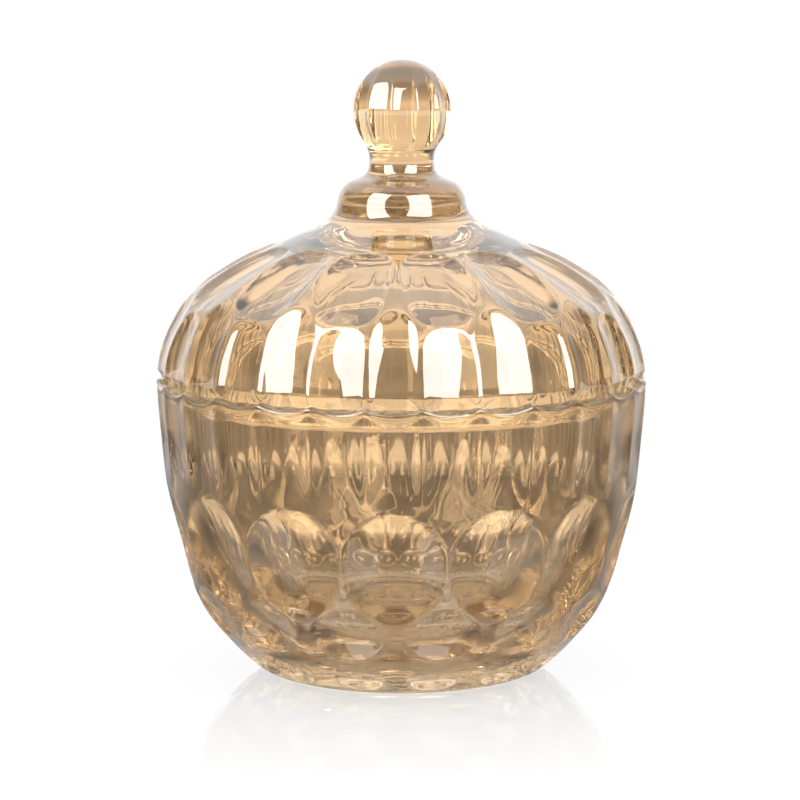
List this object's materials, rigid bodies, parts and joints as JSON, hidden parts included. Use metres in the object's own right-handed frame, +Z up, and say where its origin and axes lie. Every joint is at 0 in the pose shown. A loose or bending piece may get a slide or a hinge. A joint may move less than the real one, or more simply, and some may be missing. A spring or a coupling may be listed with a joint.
{
  "type": "lidded glass jar",
  "caption": "Squat pressed-glass jar in amber with fluted sides, thumbprint hollows, a scalloped rim and a domed lift-off lid with a ball knob.",
  "frame": {"origin": "centre of the foot's flat underside, on the surface the jar stands on", "axes": "+Z up along the jar's axis, through the knob; -Y towards the middle of one flute"},
  "size_m": [0.1192, 0.1192, 0.1491],
  "materials": {
    "amber_glass": "clear pale amber pressed glass, fire polished, glossy"
  },
  "bodies": {
    "jar": {"jar_body": "amber_glass"},
    "lid": {"lid": "amber_glass"}
  },
  "joints": [
    {"name": "lid_lift", "type": "slide", "parent": "jar", "child": "lid", "axis": [0, 0, 1], "range_m": [0, 0.08]}
  ]
}
